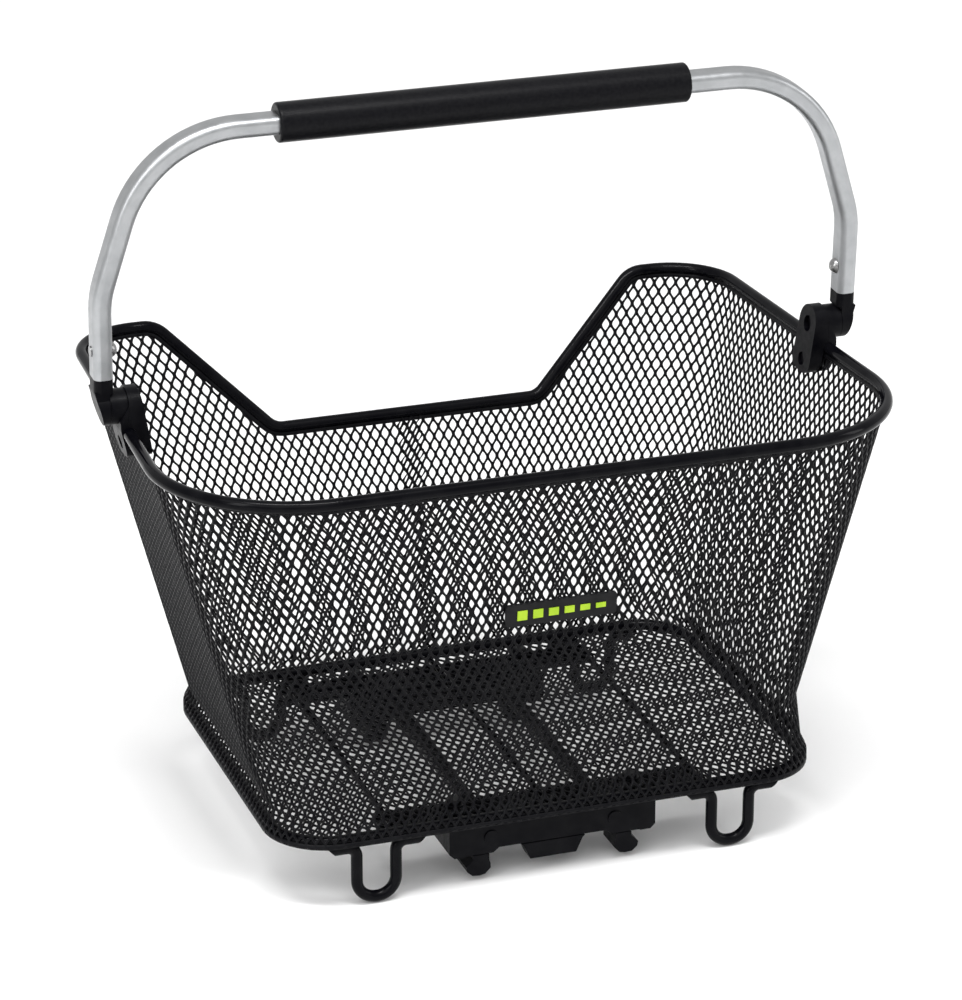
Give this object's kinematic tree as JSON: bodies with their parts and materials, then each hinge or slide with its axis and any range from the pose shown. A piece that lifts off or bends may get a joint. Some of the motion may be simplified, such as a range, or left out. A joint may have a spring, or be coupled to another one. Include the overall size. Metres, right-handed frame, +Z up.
{
  "type": "bicycle rear rack basket",
  "caption": "Tapered black mesh basket with a recessed back edge, swing handle, wire foot loops and a quick-release rack adapter with sprung hooks.",
  "frame": {"origin": "on the ground under the middle of the basket, which stands on its four foot loops", "axes": "+X along the long side, -Y towards the side with the badge and +Y towards the saddle recess, +Z up"},
  "size_m": [0.4802, 0.3286, 0.4525],
  "materials": {
    "mesh_black": "glossy powder coat",
    "wire_black": "glossy powder coat",
    "plastic_black": "fine satin",
    "handle_aluminium": "satin anodised",
    "grip_foam": "closed-cell foam",
    "hardware_black": "black zinc",
    "hardware_steel": "zinc plated",
    "badge_grey": "satin",
    "badge_green": "printed"
  },
  "bodies": {
    "basket": {"adapter_back_block": "plastic_black", "adapter_housing": "plastic_black", "adapter_rail_left": "plastic_black", "adapter_rail_right": "plastic_black", "badge_bars": "badge_green", "badge_plate": "badge_grey", "base_rim": "wire_black", "clamp_inner_left": "plastic_black", "clamp_inner_right": "plastic_black", "clamp_outer_left": "plastic_black", "clamp_outer_right": "plastic_black", "clamp_screws": "hardware_black", "floor_mesh": "mesh_black", "floor_wire_left": "wire_black", "floor_wire_middle": "wire_black", "floor_wire_right": "wire_black", "foot_loop_back_left": "wire_black", "foot_loop_back_right": "wire_black", "foot_loop_front_left": "wire_black", "foot_loop_front_right": "wire_black", "housing_caps": "plastic_black", "lever_spring": "hardware_steel", "mounting_screws": "hardware_black", "pivot_pins": "hardware_black", "strip_back": "wire_black", "strip_front": "wire_black", "top_rim": "wire_black", "wall_back": "mesh_black", "wall_corner_back_left": "mesh_black", "wall_corner_back_right": "mesh_black", "wall_corner_front_left": "mesh_black", "wall_corner_front_right": "mesh_black", "wall_front": "mesh_black", "wall_left": "mesh_black", "wall_right": "mesh_black"},
    "handle": {"handle_tube": "handle_aluminium", "handle_grip": "grip_foam", "handle_elbow_left": "plastic_black", "handle_elbow_right": "plastic_black", "handle_rivets": "hardware_steel"},
    "lever": {"release_lever": "plastic_black"},
    "hook_left": {"hook_left": "plastic_black"},
    "hook_right": {"hook_right": "plastic_black"}
  },
  "joints": [
    {"name": "handle_swing", "type": "hinge", "parent": "basket", "child": "handle", "pos_m": [0, -0.004, 0.277], "axis": [1, 0, 0], "range_deg": [-92, 86.5]},
    {"name": "lever_push", "type": "slide", "parent": "basket", "child": "lever", "axis": [0, 1, 0], "range_m": [0, 0.006], "stiffness_N_per_m": 800, "springref_m": -0.004, "deforming": ["lever_spring"]},
    {"name": "hook_left_slide", "type": "slide", "parent": "basket", "child": "hook_left", "axis": [1, 0, 0], "range_m": [0, 0.003]},
    {"name": "hook_right_slide", "type": "slide", "parent": "basket", "child": "hook_right", "axis": [-1, 0, 0], "range_m": [0, 0.003]}
  ],
  "couplings": [
    {"joint": "hook_left_slide", "follows": "lever_push", "ratio": 0.5},
    {"joint": "hook_right_slide", "follows": "lever_push", "ratio": 0.5}
  ]
}
